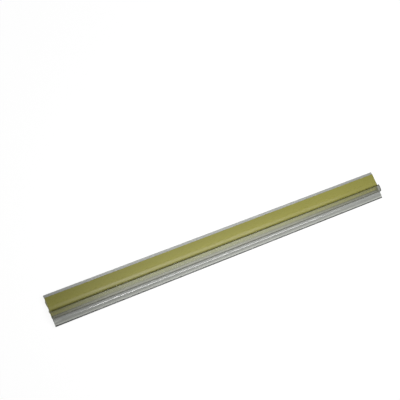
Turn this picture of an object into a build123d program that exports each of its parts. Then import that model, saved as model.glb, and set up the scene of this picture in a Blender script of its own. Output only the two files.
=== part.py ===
"""A self-adhesive door-bottom draught excluder with two seals on one clear strip.

The strip is a plastic extrusion. A flat-backed flange with a moulded front is taped
to the foot of a door, a soft flap that leans over the tape closes the gap under the
door, and a thin lip below the flap wipes the floor. It lies on its moulded front.

X runs along the strip, Y from the lip's tip to the flange's free edge, and Z from
the moulded front to the taped back. The origin is at the middle of the strip, on
the plane that the moulding's crest and nose lie on. Sizes are in millimetres.
"""
import os

from build123d import *

# The strip
strip_length = 500.0

# The flange. Distances across it are counted from its free edge.
flange_width = 29.4
flange_depth = 3.8
edge_bead_width = 1.4
edge_bead_depth = 1.9
edge_round = 0.5
cove_from_edge = 4.4
cove_thickness = 1.3
crest_from_edge = 9.0
groove_from_edge = 16.4
groove_thickness = 1.5
nose_from_edge = 19.6
band_from_edge = 23.0
band_thickness = 1.9
heel_from_edge = 27.4
heel_thickness = 2.6

# The flap, a wall on the flange's lower edge that turns over the tape in a low arch
flap_thickness = 0.9
flap_reach = 9.2
flap_side_rise = 3.85
flap_crest_rise = 4.9
flap_edge_rise = 4.6
flap_shoulder_round = 1.8
flap_bead_radius = 0.6
flap_inner_root_round = 0.6
flap_outer_root_round = 1.0

# The lip, from the flap's foot to the bead on its tip
lip_reach = 8.8
lip_root_thickness = 1.4
lip_tip_thickness = 0.8
lip_drop = 0.65
tip_bead_radius = 0.65
tip_neck_round = 2.0
joint_bead_from_root = 1.2
joint_bead_rise = 0.7
lip_front_from_bead = 1.8
lip_front_thickness = 1.1
ridge_from_root = 3.5
ridge_upper_run = 1.9
ridge_lower_run = 0.9
ridge_rise = 0.18

# The double-sided tape and the liner on it
tape_from_edge = 3.2
tape_to_flap = 3.1
tape_thickness = 0.5
liner_thickness = 0.12

# Places worked out from the sizes above
strip_width = flange_width + lip_reach
tape_width = flange_width - flap_thickness - tape_from_edge - tape_to_flap
tape_centre = tape_from_edge + tape_width / 2


def at(from_edge, height):
    """A point of the section, by its distance from the free edge and its height."""
    return (strip_width / 2 - from_edge, height)


def ogee(start, end):
    """Two equal arcs that meet in an S and lie level at both ends."""
    run = end[0] - start[0]
    middle = ((start[0] + end[0]) / 2, (start[1] + end[1]) / 2)
    TangentArc(start, middle, tangent=(run, 0))
    TangentArc(end, middle, tangent=(-run, 0))


def moulding(*points):
    """A moulded face: an ogee from each hollow or crest to the next."""
    for start, end in zip(points, points[1:]):
        ogee(start, end)


# Points where the flange, the flap and the lip meet
lip_root_back = at(flange_width, flange_depth)
lip_root_front = at(flange_width, flange_depth - lip_root_thickness)
flap_inner_root = at(flange_width - flap_thickness, flange_depth)

# The clear extrusion: flange, flap and lip in one section
with BuildPart() as sealing_profile:
    with BuildSketch(Plane.YZ) as section:
        # The flange, flat on the taped side and moulded on the front
        with BuildLine():
            edge_front = at(0, flange_depth - edge_bead_depth)
            bead_end = at(edge_bead_width, flange_depth - edge_bead_depth)
            Polyline(lip_root_front, lip_root_back, at(0, flange_depth), edge_front, bead_end)
            moulding(
                bead_end,
                at(cove_from_edge, flange_depth - cove_thickness),
                at(crest_from_edge, 0),
                at(groove_from_edge, flange_depth - groove_thickness),
                at(nose_from_edge, 0),
                at(band_from_edge, flange_depth - band_thickness),
                at(heel_from_edge, flange_depth - heel_thickness),
                lip_root_front,
            )
        make_face()
        fillet(section.vertices().group_by(Axis.X)[-1], radius=edge_round)

        # The lip: a bead at the joint in front, a low ridge behind, a bead at the tip
        with BuildLine():
            tip_centre = at(strip_width - tip_bead_radius, flange_depth - lip_drop - lip_tip_thickness / 2)
            tip_back = (tip_centre[0], tip_centre[1] + lip_tip_thickness / 2)
            tip_front = (tip_centre[0], tip_centre[1] - lip_tip_thickness / 2)
            joint_bead = flange_width + joint_bead_from_root
            front_end = at(joint_bead + lip_front_from_bead, flange_depth - lip_front_thickness)
            ridge_crest = flange_width + ridge_from_root
            ridge_start = at(ridge_crest - ridge_upper_run, flange_depth)
            ridge_end = at(ridge_crest + ridge_lower_run, flange_depth)
            moulding(
                lip_root_front,
                at(joint_bead, flange_depth - lip_root_thickness - joint_bead_rise),
                front_end,
            )
            Polyline(front_end, tip_front, tip_back, ridge_end)
            moulding(ridge_end, at(ridge_crest, flange_depth + ridge_rise), ridge_start)
            Polyline(ridge_start, lip_root_back, lip_root_front)
        make_face()
        with Locations(tip_centre):
            Circle(tip_bead_radius)
        fillet(section.vertices().sort_by_distance(tip_centre)[:2], radius=tip_neck_round)

        # The flap, drawn along its outer side and thickened inwards
        with BuildLine() as flap_line:
            shoulder = at(flange_width, flange_depth + flap_side_rise)
            Line(at(flange_width, flange_depth - flap_thickness), shoulder)
            arch = ThreePointArc(
                shoulder,
                at(flange_width - flap_reach / 2, flange_depth + flap_crest_rise),
                at(flange_width - flap_reach, flange_depth + flap_edge_rise),
            )
            fillet(flap_line.vertices().sort_by_distance(shoulder)[0], radius=flap_shoulder_round)
            offset(amount=flap_thickness, side=Side.RIGHT)
        make_face()
        with Locations(arch @ 1 + (arch % 1).rotate(Axis.Z, -90) * flap_thickness / 2):
            Circle(flap_bead_radius)

        # The die leaves rounds on both sides of the flap's foot
        fillet(section.vertices().sort_by_distance(flap_inner_root)[0], radius=flap_inner_root_round)
        fillet(section.vertices().sort_by_distance(lip_root_back)[0], radius=flap_outer_root_round)
    extrude(amount=strip_length / 2, both=True)

# The double-sided foam tape, stuck along the flange's back
with BuildPart() as foam_tape:
    with BuildSketch(Plane.XY.offset(flange_depth)):
        with Locations((0, strip_width / 2 - tape_centre)):
            Rectangle(strip_length, tape_width)
    extrude(amount=tape_thickness)

# The liner over the tape, cut off flush with the strip
with BuildPart() as release_liner:
    with BuildSketch(Plane.XY.offset(flange_depth + tape_thickness)):
        with Locations((0, strip_width / 2 - tape_centre)):
            Rectangle(strip_length, tape_width)
    extrude(amount=liner_thickness)

sealing_profile.part.label = "sealing_profile"
foam_tape.part.label = "foam_tape"
release_liner.part.label = "release_liner"

os.makedirs("parts", exist_ok=True)
export_step(sealing_profile.part, "parts/sealing_profile.step")
export_step(foam_tape.part, "parts/foam_tape.step")
export_step(release_liner.part, "parts/release_liner.step")
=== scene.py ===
import math

import bmesh
import bpy
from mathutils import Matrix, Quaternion, Vector, noise


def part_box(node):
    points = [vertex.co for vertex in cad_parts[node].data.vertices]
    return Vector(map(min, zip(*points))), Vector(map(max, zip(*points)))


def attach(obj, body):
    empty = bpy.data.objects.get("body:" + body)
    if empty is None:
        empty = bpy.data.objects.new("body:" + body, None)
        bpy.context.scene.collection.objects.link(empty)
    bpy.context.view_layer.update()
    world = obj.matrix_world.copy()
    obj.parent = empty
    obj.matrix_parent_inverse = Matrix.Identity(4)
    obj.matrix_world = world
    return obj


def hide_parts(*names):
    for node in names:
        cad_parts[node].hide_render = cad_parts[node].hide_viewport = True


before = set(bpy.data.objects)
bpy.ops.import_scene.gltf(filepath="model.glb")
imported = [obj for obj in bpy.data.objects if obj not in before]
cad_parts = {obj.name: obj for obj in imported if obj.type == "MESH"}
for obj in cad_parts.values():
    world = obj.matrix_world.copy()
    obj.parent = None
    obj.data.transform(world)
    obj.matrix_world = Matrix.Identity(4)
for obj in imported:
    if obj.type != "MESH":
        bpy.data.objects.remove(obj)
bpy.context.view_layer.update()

# The sealing profile: one length of clear, slightly smoky PVC, pushed through a die, so that
# the flange, the soft flap and the lip are one section from end to end. The die leaves fine
# lines along it, and the saw leaves both ends square, frosted and lightly eased.
profile_low, profile_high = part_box("sealing_profile")
strip_width = profile_high.y - profile_low.y
flange_width = 0.0294
flange_depth = 0.0038
edge_bead_width = 0.0014
edge_bead_depth = 0.0019
edge_round = 0.0005
cove_from_edge = 0.0044
cove_thickness = 0.0013
crest_from_edge = 0.0090
groove_from_edge = 0.0164
groove_thickness = 0.0015
nose_from_edge = 0.0196
band_from_edge = 0.0230
band_thickness = 0.0019
heel_from_edge = 0.0274
heel_thickness = 0.0026
flap_thickness = 0.0009
flap_crest_from_edge = 0.02354
flap_edge_from_edge = 0.02020
flap_arch_radius = 0.016165
flap_shoulder_round = 0.0018
flap_bead_radius = 0.0006
flap_inner_root_round = 0.0006
flap_outer_root_round = 0.0010
lip_root_thickness = 0.0014
lip_tip_thickness = 0.0008
lip_drop = 0.00065
tip_bead_radius = 0.00065
tip_neck_round = 0.0020
joint_bead_from_root = 0.0012
joint_bead_rise = 0.0007
lip_front_from_bead = 0.0018
lip_front_thickness = 0.0011
ridge_from_root = 0.0035
ridge_upper_run = 0.0019
ridge_lower_run = 0.0009
ridge_rise = 0.00018
saw_ease = 0.00012
arc_step = math.radians(9)
slices = 60
smooth_under = math.radians(35)
section = bmesh.new()


def at(from_edge, height):
    """A point of the section, by its distance from the flange's free edge and its height."""
    return Vector((profile_low.x + saw_ease, profile_high.y - from_edge, height))


def straight(pen, *points):
    """Draw straight edges from the pen's vertex through the points, and return the new vertices."""
    drawn = []
    for point in points:
        pen = bmesh.ops.extrude_vert_indiv(section, verts=[pen])["verts"][0]
        pen.co = point
        drawn.append(pen)
    return drawn


def arc(pen, centre, angle):
    """Draw a round edge from the pen's vertex about a centre, and return its last vertex."""
    steps = math.ceil(abs(angle) / arc_step)
    spun = bmesh.ops.spin(section, geom=[pen], cent=centre, axis=(1, 0, 0), angle=angle, steps=steps)
    return next(part for part in spun["geom_last"] if isinstance(part, bmesh.types.BMVert))


def moulding(pen, *points):
    """Draw an ogee to each point: two equal arcs that meet in an S and lie level at both ends."""
    for point in points:
        run, rise = point.y - pen.co.y, point.z - pen.co.z
        radius = (run ** 2 + rise ** 2) / (4 * abs(rise))
        turn = math.copysign(2 * math.atan2(abs(rise), abs(run)), run * rise)
        lift = Vector((0, 0, math.copysign(radius, rise)))
        pen = arc(arc(pen, pen.co + lift, turn), point - lift, -turn)
    return pen


def ease(corner, radius):
    """Round one corner of the filled outline."""
    sides = [edge.other_vert(corner).co - corner.co for edge in corner.link_edges]
    turn = math.pi - sides[0].angle(sides[1])
    bmesh.ops.bevel(
        section,
        geom=[corner],
        affect="VERTICES",
        offset_type="OFFSET",
        offset=radius * math.tan(turn / 2),
        segments=max(2, math.ceil(turn / arc_step)),
        profile=0.5,
        material=-1,
    )


def neck(near, far, outward, bead):
    """The round that leads from a straight side to the tip's bead: its start, centre and angle."""
    way = (far - near).normalized()
    off = outward * Vector((0, -way.z, way.y))
    apart = tip_neck_round + tip_bead_radius
    reach = math.sqrt(apart ** 2 - (tip_neck_round - (bead - near).dot(off)) ** 2)
    start = near + way * ((bead - near).dot(way) - reach)
    return start, start + off * tip_neck_round, math.asin(reach / apart)


# From the free edge along the moulded front to the lip
edge_back = section.verts.new(at(0, flange_depth))
edge_height = flange_depth - edge_bead_depth
edge_front, bead_end = straight(edge_back, at(0, edge_height), at(edge_bead_width, edge_height))
joint_bead = flange_width + joint_bead_from_root
lip_front = moulding(
    bead_end,
    at(cove_from_edge, flange_depth - cove_thickness),
    at(crest_from_edge, 0),
    at(groove_from_edge, flange_depth - groove_thickness),
    at(nose_from_edge, 0),
    at(band_from_edge, flange_depth - band_thickness),
    at(heel_from_edge, flange_depth - heel_thickness),
    at(flange_width, flange_depth - lip_root_thickness),
    at(joint_bead, flange_depth - lip_root_thickness - joint_bead_rise),
    at(joint_bead + lip_front_from_bead, flange_depth - lip_front_thickness),
)

# Round the bead on the lip's tip, and back over the ridge to the flap's foot
tip_from_edge = strip_width - tip_bead_radius
tip_back = at(tip_from_edge, flange_depth - lip_drop)
tip_front = at(tip_from_edge, flange_depth - lip_drop - lip_tip_thickness)
tip_centre = (tip_back + tip_front) / 2
ridge_crest = flange_width + ridge_from_root
lip_back = at(ridge_crest + ridge_lower_run, flange_depth)
front_neck, front_centre, front_turn = neck(lip_front.co, tip_front, 1, tip_centre)
back_neck, back_centre, back_turn = neck(lip_back, tip_back, -1, tip_centre)
tip_turn = (tip_front - lip_front.co).angle(lip_back - tip_back) + front_turn + back_turn
pen = arc(straight(lip_front, front_neck)[0], front_centre, front_turn)
pen = arc(arc(pen, tip_centre, -tip_turn), back_centre, back_turn)
ridge_start = moulding(
    straight(pen, lip_back)[0],
    at(ridge_crest, flange_depth + ridge_rise),
    at(ridge_crest - ridge_upper_run, flange_depth),
)

# Up the flap's outer side and over its arch to the bead on its edge, and back underneath
arch_centre = at(flap_crest_from_edge, profile_high.z - flap_arch_radius)
shoulder_from_edge = flange_width - flap_shoulder_round
shoulder_to_arch = flap_arch_radius - flap_shoulder_round
shoulder_lean = math.asin((shoulder_from_edge - flap_crest_from_edge) / shoulder_to_arch)
shoulder_height = arch_centre.z + shoulder_to_arch * math.cos(shoulder_lean)
shoulder_centre = at(shoulder_from_edge, shoulder_height)
shoulder_turn = math.pi / 2 - shoulder_lean
edge_lean = math.asin((flap_crest_from_edge - flap_edge_from_edge) / flap_arch_radius)
flap_middle = flap_arch_radius - flap_thickness / 2
flap_edge = arch_centre + Vector((0, math.sin(edge_lean), math.cos(edge_lean))) * flap_middle
bead_grip = math.asin(flap_thickness / 2 / flap_bead_radius)
outer_turn = shoulder_lean + edge_lean - flap_bead_radius * math.cos(bead_grip) / flap_middle
outer_root, outer_side = straight(
    ridge_start,
    at(flange_width, flange_depth),
    at(flange_width, shoulder_height),
)
pen = arc(arc(outer_side, shoulder_centre, -shoulder_turn), arch_centre, -outer_turn)
pen = arc(pen, flap_edge, -2 * (math.pi - bead_grip))
pen = arc(arc(pen, arch_centre, outer_turn), shoulder_centre, shoulder_turn)
(inner_root,) = straight(pen, at(flange_width - flap_thickness, flange_depth))
section.edges.new((inner_root, edge_back))
bmesh.ops.contextual_create(section, geom=list(section.edges))
for corner, radius in (
    (edge_back, edge_round),
    (edge_front, edge_round),
    (outer_root, flap_outer_root_round),
    (inner_root, flap_inner_root_round),
):
    ease(corner, radius)

# The cut face, pushed out to the strip's length, with eased ends
bmesh.ops.delete(section, geom=list(section.faces), context="FACES_ONLY")
cut_face = bmesh.ops.triangle_fill(section, edges=section.edges, use_beauty=True, normal=(-1, 0, 0))
cut_face = [part for part in cut_face["geom"] if isinstance(part, bmesh.types.BMFace)]
pushed = bmesh.ops.extrude_face_region(section, geom=cut_face)["geom"]
pushed_length = profile_high.x - profile_low.x - 2 * saw_ease
bmesh.ops.translate(
    section,
    verts=[part for part in pushed if isinstance(part, bmesh.types.BMVert)],
    vec=(pushed_length, 0, 0),
)
bmesh.ops.recalc_face_normals(section, faces=section.faces)
for way in (-1, 1):
    bmesh.ops.inset_region(
        section,
        faces=[face for face in section.faces if face.normal.x * way > 0.99],
        thickness=saw_ease,
        depth=saw_ease,
        use_even_offset=True,
        use_boundary=True,
    )
bmesh.ops.subdivide_edges(
    section,
    edges=[edge for edge in section.edges if edge.calc_length() > pushed_length / 2],
    cuts=slices - 1,
    use_grid_fill=True,
)


def piece(name, shape, finish):
    """Make an object of a finished bmesh, smooth where its faces meet at a shallow angle."""
    mesh = bpy.data.meshes.new(name)
    shape.to_mesh(mesh)
    shape.free()
    mesh.shade_smooth()
    mesh.set_sharp_from_angle(angle=smooth_under)
    mesh.materials.append(finish.material)
    made = bpy.data.objects.new(name, mesh)
    bpy.context.scene.collection.objects.link(made)
    return made


class Value:
    """A value in a finish. Sums and products of it add Math nodes to that finish."""

    def __init__(self, finish, socket):
        self.finish = finish
        self.socket = socket

    def math(self, operation, first, second):
        return self.finish.node("ShaderNodeMath", {"operation": operation}, {0: first, 1: second})

    def __add__(self, other):
        return self.math("ADD", self, other)

    def __radd__(self, other):
        return self.math("ADD", other, self)

    def __sub__(self, other):
        return self.math("SUBTRACT", self, other)

    def __rsub__(self, other):
        return self.math("SUBTRACT", other, self)

    def __mul__(self, other):
        return self.math("MULTIPLY", self, other)

    def __rmul__(self, other):
        return self.math("MULTIPLY", other, self)

    def __abs__(self):
        return self.math("ABSOLUTE", self, 0.0)


class Finish:
    """A procedural material round one Principled shader."""

    def __init__(self, name):
        self.material = bpy.data.materials.new(name)
        self.material.use_nodes = True
        self.tree = self.material.node_tree
        self.shader = self.tree.nodes["Principled BSDF"]

    def node(self, kind, settings, sockets, output=0):
        """Add a node: its settings first, then the values or links of its sockets."""
        made = self.tree.nodes.new(kind)
        for name, setting in settings.items():
            setattr(made, name, setting)
        for name, value in sockets.items():
            self.feed(made.inputs[name], value)
        return Value(self, made.outputs[output])

    def feed(self, socket, value):
        """Link a value to a socket, or set a plain number or colour on it."""
        if isinstance(value, Value):
            self.tree.links.new(value.socket, socket)
        else:
            socket.default_value = value

    def set(self, **sockets):
        """Set the shader's own sockets, named with _ for each space."""
        for name, value in sockets.items():
            self.feed(self.shader.inputs[name.replace("_", " ")], value)

    def place(self):
        """The piece's own coordinates, whole and one by one."""
        whole = self.node("ShaderNodeTexCoord", {}, {}, "Object")
        parts = [self.node("ShaderNodeSeparateXYZ", {}, {"Vector": whole}, axis) for axis in "XYZ"]
        return [whole] + parts

    def speckle(self, place, scale, detail=2.0, rough=0.5):
        """Noise, with a scale for each axis in waves a metre."""
        stretch = {"Vector": place, "Scale": scale}
        stretched = self.node("ShaderNodeMapping", {"vector_type": "POINT"}, stretch)
        sockets = {"Vector": stretched, "Scale": 1.0, "Detail": detail, "Roughness": rough}
        return self.node("ShaderNodeTexNoise", {"noise_dimensions": "3D"}, sockets, "Fac")

    def step(self, value, low, high):
        """0 below low and 1 above high, with a soft step between. Turned round where high is lower."""
        ends = (low, high, 0.0, 1.0) if low < high else (high, low, 1.0, 0.0)
        names = ("From Min", "From Max", "To Min", "To Max")
        sockets = {"Value": value, **dict(zip(names, ends))}
        return self.node("ShaderNodeMapRange", {"interpolation_type": "SMOOTHSTEP"}, sockets)

    def band(self, value, start, full, still_full, end):
        """1 from full to still_full and 0 outside start and end, with a soft step at each side."""
        return self.step(value, start, full) * self.step(value, end, still_full)

    def mix(self, share, first, second):
        """A colour that goes from first to second with share."""
        sockets = {0: share, 6: first, 7: second}
        return self.node("ShaderNodeMix", {"data_type": "RGBA"}, sockets, 2)

    def lay(self, colour, *tones):
        """Lay tones over a colour, one after the other, each where its mask says."""
        for mask, tone in tones:
            colour = self.mix(mask, colour, tone)
        return colour

    def bump(self, height, distance):
        """A normal from a height, where a height of 1 stands for a distance in metres."""
        sockets = {"Height": height, "Distance": distance, "Strength": 1.0}
        return self.node("ShaderNodeBump", {}, sockets)


# Clear PVC takes its grey from what little it lets through, so it is paler where it is thick
# and smokier where it is thin. Walls and beads that are seen edge on, the gap beside the tape
# and the pocket under the flap are painted shade: dark tones laid in the colour.
pvc_flange = (0.402, 0.415, 0.394, 1)
# painted shade: the flange's back in the pocket under the flap is darker
pvc_pocket = (0.27, 0.275, 0.235, 1)
# painted shade: a dark line in the gap beside the tape's edge, under the flap
pvc_gap = (0.08, 0.082, 0.05, 1)
# painted light: a paler band at the foot of the flap, weaker towards the near end
pvc_root = (0.57, 0.588, 0.545, 1)
pvc_lip = (0.373, 0.386, 0.355, 1)
# painted shade: a darker line along the ridge's crest, beside its highlight
pvc_crest = (0.27, 0.28, 0.256, 1)
# painted highlight: a paler band on the lip before the tip's bead; the same tone is laid by the near
# cut
pvc_neck = (0.585, 0.602, 0.556, 1)
# painted shade: a dark line on the tip's bead, seen edge on
pvc_tip = (0.03, 0.031, 0.028, 1)
# painted shade: the flap's outer wall, seen edge on, is given a dark tone
pvc_wall = (0.135, 0.14, 0.11, 1)
# painted highlight: the flap's shoulder is paler
pvc_shoulder = (0.67, 0.68, 0.58, 1)
pvc_flap = (0.54, 0.555, 0.455, 1)
pvc_flap_edge = (0.71, 0.735, 0.54, 1)
pvc_flap_end = (0.40, 0.405, 0.28, 1)
# painted shade: the bead on the flap's edge is dark olive
pvc_bead = (0.080, 0.077, 0.008, 1)
pvc_cloud = (0.31, 0.315, 0.295, 1)
# the flap's last few millimetres at the far end are greyer and more opaque
pvc_far_end = (0.335, 0.345, 0.315, 1)
# painted shade: a dark line at the flap's far cut end, seen edge on
pvc_cut = (0.10, 0.10, 0.09, 1)
pvc_frost = (0.42, 0.43, 0.40, 1)
# painted light: the liner's olive, carried through the clear flange, shows on its cut faces
pvc_glow = (0.40, 0.385, 0.15, 1)
clear_pvc = Finish("clear_pvc")
spot, along, across, up = clear_pvc.place()
die_lines = clear_pvc.speckle(spot, (1.5, 2600, 2600), 3.0, 0.6)
clouds = clear_pvc.speckle(spot, (30, 120, 120), 3.0, 0.55)
saw_marks = clear_pvc.speckle(spot, (400, 5200, 420), 2.0, 0.6)

# Where each tone lies along the strip: the flap gets a painted sheen along its middle, paler
# and less clear, and is clearer towards its ends, where the liner under it shows. Its last few
# millimetres at the far end are greyer and more opaque. The lip is pale by its near cut.
from_near_end = along - profile_low.x
from_far_end = profile_high.x - along
from_end = profile_high.x - abs(along)
near_end = clear_pvc.step(along, -0.13, -0.22)
# the middle length, where the crest's painted shade lies
mid_length = clear_pvc.band(along, -0.215, -0.165, 0.10, 0.18)
# painted sheen: the flap is paler and less clear along the middle of the strip
painted_sheen = clear_pvc.band(along, -0.26, -0.165, 0.02, 0.27)
near_cut = clear_pvc.step(from_near_end, 0.011, 0.003)
# where the flap's far end is greyer and more opaque
far_end_tone = clear_pvc.step(from_far_end, 0.0060, 0.0036)
# where the painted shade at the flap's far cut end lies
cut_line = clear_pvc.step(from_far_end, 0.0022, 0.0010)
sawn = clear_pvc.step(from_end, saw_ease * 1.5, saw_ease * 0.7)

# Where each tone lies across the strip, from places on the section
root_lost_near = 0.6
from_edge = profile_high.y - across
past_flap_edge = from_edge - flap_edge_from_edge
past_wall = from_edge - flange_width
past_ridge = from_edge - ridge_crest
from_tip = strip_width - from_edge
on_flap = clear_pvc.step(up - flange_depth, 0.0010, 0.0022)
off_flap = 1 - on_flap
# where the painted shade on the flap's edge bead lies
on_bead = clear_pvc.step(past_flap_edge, 0.0013, 0.0005) * on_flap
up_flap = clear_pvc.step(past_flap_edge, 0.0003, 0.0060)
# where the painted highlight on the flap's shoulder lies
on_shoulder = clear_pvc.step(past_wall, -0.0036, -0.0024)
# where the flap's outer wall gets its painted shade
on_wall = clear_pvc.band(past_wall, -0.0014, -0.0007, -0.0004, 0.0001) * on_flap
# where the painted shade in the pocket under the flap lies
in_pocket = clear_pvc.band(past_wall, -0.0044, -0.0036, -0.0008, 0.0) * off_flap
# where the painted shade in the gap beside the tape lies
in_gap = clear_pvc.band(past_wall, -0.0045, -0.0040, -0.0035, -0.0027) * off_flap
# where the painted light at the flap's foot lies
on_root = clear_pvc.band(past_wall, -0.0003, 0.0, 0.0005, 0.0014) * (1 - near_end * root_lost_near)
on_lip = clear_pvc.step(past_wall, 0.0010, 0.0041)
on_ridge = clear_pvc.band(past_ridge, -0.0022, -0.0017, 0.0, 0.0004)
# where the painted shade on the ridge's crest lies
on_crest = clear_pvc.band(past_ridge, -0.0006, -0.0002, 0.0002, 0.0006) * mid_length
on_cut_lip = clear_pvc.band(past_ridge, -0.0021, -0.0006, 0.0004, 0.0015) * near_cut
# where the painted highlight on the lip's neck lies
on_neck = clear_pvc.step(past_ridge, 0.0015, 0.0033)
# where the painted shade on the tip's bead lies
on_tip = clear_pvc.band(from_tip, 0.0, 0.0004, 0.0013, 0.0016)
# where the painted olive light on the cut faces beside the liner lies
by_liner = clear_pvc.band(from_edge, 0.0028, 0.0036, 0.0248, 0.0262) * off_flap

# The tones, from the thick flange to the thin flap and the frosted cuts
least_sheen = 0.2
cloud_share = 0.2
cut_lip_share = 0.75
clouded = clear_pvc.step(clouds, 0.4, 0.8) * cloud_share
flap = clear_pvc.lay(pvc_flap_edge, (up_flap, pvc_flap), (on_shoulder, pvc_shoulder))
# the flap's paler tones show along its painted sheen, its olive clear tone towards its ends
flap = clear_pvc.mix(painted_sheen * (1 - least_sheen) + least_sheen, pvc_flap_end, flap)
cut = clear_pvc.lay(pvc_frost, (on_flap, pvc_flap_end), (by_liner, pvc_glow))
body = clear_pvc.lay(
    pvc_flange,
    (on_lip, pvc_lip),
    (on_neck, pvc_neck),
    (on_root, pvc_root),
    (on_crest, pvc_crest),
    (on_cut_lip * cut_lip_share, pvc_neck),
    (in_pocket, pvc_pocket),
    (in_gap, pvc_gap),
    (on_flap, flap),
    (clouded, pvc_cloud),
    (far_end_tone * on_flap, pvc_far_end),
    (on_wall, pvc_wall),
    (on_bead, pvc_bead),
    (on_tip, pvc_tip),
    (cut_line * on_flap, pvc_cut),
    (sawn, cut),
)

# How much it lets through: the flap's wall and its cut edges as little as the body
body_alpha = 0.86
bead_alpha = 0.58
far_end_alpha = 0.95
flap_alpha = 0.15
# the flap is less clear along its middle, with its painted sheen
sheen_alpha = 0.11
shoulder_sheen_alpha = 0.13
alpha = flap_alpha + painted_sheen * (up_flap * shoulder_sheen_alpha + sheen_alpha)
alpha = alpha + (far_end_alpha - alpha) * far_end_tone
alpha = alpha + (bead_alpha - alpha) * on_bead
see_through = on_flap * (1 - on_wall) * (1 - cut_line) * (1 - sawn)
alpha = body_alpha + (alpha - body_alpha) * see_through

# Its gloss, with the die's lines along it, faint on the ridge, and the saw's marks on its ends
gloss = 0.12
line_rough = 0.10
ridge_line_rough = 0.03
ridge_gloss = 0.115
saw_rough = 0.35
line_depth = 0.0000006
saw_mark_depth = 30.0
lines = die_lines * (line_rough - on_ridge * (line_rough - ridge_line_rough))
relief = die_lines * (1 - sawn) + saw_marks * sawn * saw_mark_depth
clear_pvc.set(
    Base_Color=body,
    Roughness=lines + (sawn * saw_rough + gloss - on_ridge * (gloss - ridge_gloss)),
    IOR=1.53,
    Alpha=alpha,
    Normal=clear_pvc.bump(relief, line_depth),
)

sealing_profile = piece("clear_sealing_profile", section, clear_pvc)
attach(sealing_profile, "root")
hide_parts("sealing_profile")

# The foam tape: a double-sided strip of white closed-cell foam, slit to width and rolled
# down on the flange's flat back. Its cut edges show open cells.
tape_low, tape_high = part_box("foam_tape")
tape_size = tape_high - tape_low
tape_ease = 0.00012
tape = bmesh.new()
bmesh.ops.create_cube(tape, size=1)
bmesh.ops.scale(tape, verts=tape.verts, vec=tape_size)
bmesh.ops.translate(tape, verts=tape.verts, vec=(tape_low + tape_high) / 2)
bmesh.ops.bevel(
    tape,
    geom=list(tape.edges),
    affect="EDGES",
    offset=tape_ease,
    segments=2,
    profile=0.5,
    material=-1,
)
bmesh.ops.subdivide_edges(
    tape,
    edges=[edge for edge in tape.edges if edge.calc_length() > tape_size.x / 2],
    cuts=slices - 1,
    use_grid_fill=True,
)

foam_white = (0.72, 0.72, 0.68, 1)
foam_cell = (0.50, 0.50, 0.46, 1)
cell_share = 0.6
skin_share = 0.3
foam_rough = 0.75
foam_rough_spread = 0.2
foam_relief = 0.00008
white_foam = Finish("white_foam")
spot = white_foam.place()[0]
cells = {"Vector": spot, "Scale": 4200.0, "Randomness": 1.0}
cell_depth = white_foam.node("ShaderNodeTexVoronoi", {"feature": "F1"}, cells, "Distance")
skin = white_foam.speckle(spot, (300, 900, 900), 3.0)
open_cells = white_foam.step(cell_depth, 0.5, 0.1) * cell_share
white_foam.set(
    Base_Color=white_foam.mix(open_cells, foam_white, foam_cell),
    Roughness=skin * foam_rough_spread + foam_rough,
    Specular_IOR_Level=0.2,
    Normal=white_foam.bump(cell_depth + skin * skin_share, foam_relief),
)

foam_tape = piece("white_foam_tape", tape, white_foam)
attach(foam_tape, "root")
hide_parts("foam_tape")

# The release liner: thin olive-yellow paper with a silicone skin, which keeps the tape clean
# until it is peeled off. It lies on the tape and lifts in a long low wave beside the flap's edge.
# Painted shade darkens it beside the flap's edge, where the flap's shadow falls, towards its
# upper edge, and along its lower edge at the far end.
liner_low, liner_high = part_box("release_liner")
liner_size = liner_high - liner_low
liner_columns = 160
liner_rows = 36
wave_from_edge = 0.0188
wave_half_width = 0.0048
wave_height = 0.00037
wave_share = 0.85
wave_drift = 0.3
drifts_a_metre = 14
drift_start = 0.3
liner = bmesh.new()
bmesh.ops.create_grid(liner, x_segments=liner_columns, y_segments=liner_rows, size=0.5)
bmesh.ops.scale(liner, verts=liner.verts, vec=(liner_size.x, liner_size.y, 1))
liner_middle = (liner_low + liner_high) / 2
bmesh.ops.translate(liner, verts=liner.verts, vec=(liner_middle.x, liner_middle.y, liner_high.z))
for point in liner.verts:
    away = min(1, abs(profile_high.y - point.co.y - wave_from_edge) / wave_half_width)
    drift = wave_share + wave_drift * noise.noise((point.co.x * drifts_a_metre, drift_start, 0))
    point.co.z += wave_height * drift * (1 + math.cos(math.pi * away)) / 2
bmesh.ops.solidify(liner, geom=list(liner.faces), thickness=liner_size.z)

liner_olive = (0.313, 0.300, 0.069, 1)
liner_pale = (0.348, 0.334, 0.088, 1)
liner_deep = (0.278, 0.263, 0.054, 1)
# painted shade, for the flap's shadow beside its edge and the darker upper and lower edges
liner_shade = (0.13, 0.12, 0.022, 1)
flap_shadow_share = 0.54
flap_shadow_lost_far = 0.28
lower_shade_share = 0.7
upper_shade_share = 0.21
upper_shade_lost_far = 0.11
mottle_share = 0.3
mottle_spread = 0.5
mottle_relief = 0.6
paper_rough = 0.20
paper_rough_spread = 0.10
paper_relief = 0.000004
olive_liner = Finish("olive_liner")
spot, along, across = olive_liner.place()[:3]
fibres = olive_liner.speckle(spot, (500, 1500, 1500), 4.0, 0.65)
mottle = olive_liner.speckle(spot, (35, 110, 110), 3.0)
past_flap_edge = profile_high.y - across - flap_edge_from_edge
from_lower_edge = across - liner_low.y
from_upper_edge = liner_high.y - across
far = olive_liner.step(along, 0.02, 0.20)
mottled = olive_liner.step(mottle, 0.35, 0.65) * mottle_spread + mottle_share
# painted shadow of the flap's edge on the liner, weaker towards the far end
flap_edge_shadow = olive_liner.band(past_flap_edge, -0.0024, -0.0008, 0.0010, 0.0021)
# painted shade: darker along the liner's lower edge at the far end
lower_edge_shade = olive_liner.step(from_lower_edge, 0.0012, 0.0003)
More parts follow.
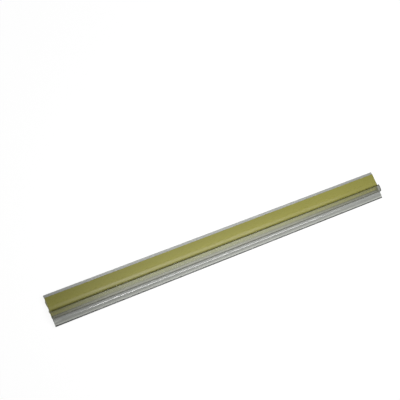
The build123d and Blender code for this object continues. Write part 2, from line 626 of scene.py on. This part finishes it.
# painted shade: darker towards the liner's upper edge, less so at the far end
upper_edge_shade = olive_liner.step(from_upper_edge, 0.0110, 0.0)
fibrous = olive_liner.mix(olive_liner.step(fibres, 0.3, 0.7), liner_deep, liner_pale)
colour = olive_liner.lay(
    fibrous,
    (mottled, liner_olive),
    (flap_edge_shadow * (flap_shadow_share - far * flap_shadow_lost_far), liner_shade),
    (lower_edge_shade * far * lower_shade_share, liner_shade),
    (upper_edge_shade * (upper_shade_share - far * upper_shade_lost_far), liner_shade),
)
olive_liner.set(
    Base_Color=colour,
    Roughness=mottle * paper_rough_spread + paper_rough,
    Specular_IOR_Level=0.27,
    Normal=olive_liner.bump(fibres + mottle * mottle_relief, paper_relief),
)

release_liner = piece("olive_release_liner", liner, olive_liner)
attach(release_liner, "root")
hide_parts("release_liner")

# The floor: a plain white table that the strip lies on. It shows white to the eye, and keeps
# a soft shadow under the strip.
floor_reach = 6.0
floor_glow = 0.92
table = bmesh.new()
bmesh.ops.create_grid(table, x_segments=1, y_segments=1, size=floor_reach)
bmesh.ops.translate(table, verts=table.verts, vec=(0, 0, profile_low.z))

table_grey = (0.15, 0.15, 0.15, 1)
table_grain = (0.14, 0.14, 0.14, 1)
table_bounce = (0.8, 0.8, 0.8, 1)
white_table = Finish("white_table")
grain = white_table.speckle(white_table.place()[0], (60, 60, 60), 2.0)
white_table.set(
    Base_Color=white_table.mix(grain, table_grey, table_grain),
    Roughness=0.9,
    Specular_IOR_Level=0.0,
    Emission_Color=(1, 1, 1, 1),
    Emission_Strength=floor_glow,
)
bounce = white_table.node("ShaderNodeBsdfDiffuse", {}, {"Color": table_bounce})
looked_at = white_table.node("ShaderNodeLightPath", {}, {}, "Is Camera Ray")
mirrored = white_table.node("ShaderNodeLightPath", {}, {}, "Is Glossy Ray")
passed = white_table.node("ShaderNodeLightPath", {}, {}, "Is Transmission Ray")
white = Value(white_table, white_table.shader.outputs[0])
shown = white_table.node(
    "ShaderNodeMixShader",
    {},
    {0: looked_at + mirrored + passed, 1: bounce, 2: white},
)
white_table.feed(white_table.tree.nodes["Material Output"].inputs["Surface"], shown)
floor = piece("floor", table, white_table)

# The light: a pale room, two soft lamps over the strip, a long soft lamp beyond it whose
# reflection runs along the ridge on the lip, and a short one for the near part of that line.
room_strength = 0.245
room = bpy.data.worlds.new("pale_room")
room.use_nodes = True
bpy.context.scene.world = room
backdrop = room.node_tree.nodes["Background"]
backdrop.inputs["Color"].default_value = (1, 1, 1, 1)
backdrop.inputs["Strength"].default_value = room_strength


def lamp(name, place, size, watts, mirrored):
    """A soft rectangular lamp that shines straight down. Only a mirrored one shows in the gloss."""
    light = bpy.data.lights.new(name, "AREA")
    light.shape = "RECTANGLE"
    light.size, light.size_y = size
    light.energy = watts
    made = bpy.data.objects.new(name, light)
    made.location = place
    made.visible_camera = False
    made.visible_glossy = mirrored
    bpy.context.scene.collection.objects.link(made)


lamp("over_lamp", (0.14, -0.03, 0.30), (0.20, 0.20), 0.485, False)
lamp("near_lamp", (-0.08, -0.03, 0.20), (0.10, 0.20), 0.167, False)
lamp("sheen_lamp", (0.532, 0.295, 0.95), (0.680, 0.130), 2.7, True)
lamp("near_sheen_lamp", (0.247, 0.291, 0.93), (0.110, 0.130), 0.33, True)

# The camera looks down along the strip from its near end, turned so that the strip
# climbs across the picture.
camera_place = Vector((-0.6290, -0.0808, 1.0778))
camera_aim = Vector((-0.01288, 0.06219, 0.0))
camera_turn = math.radians(55.419)
focal_pixels = 1001.8
picture_pixels = 400
sensor = 36.0
view = bpy.data.cameras.new("camera")
view.sensor_width = sensor
view.lens = focal_pixels / picture_pixels * sensor
camera = bpy.data.objects.new("camera", view)
camera.location = camera_place
camera.rotation_mode = "QUATERNION"
facing = (camera_aim - camera_place).to_track_quat("-Z", "Y")
camera.rotation_quaternion = facing @ Quaternion((0, 0, 1), camera_turn)
bpy.context.scene.collection.objects.link(camera)
bpy.context.scene.camera = camera
bpy.context.scene.view_settings.view_transform = "Standard"
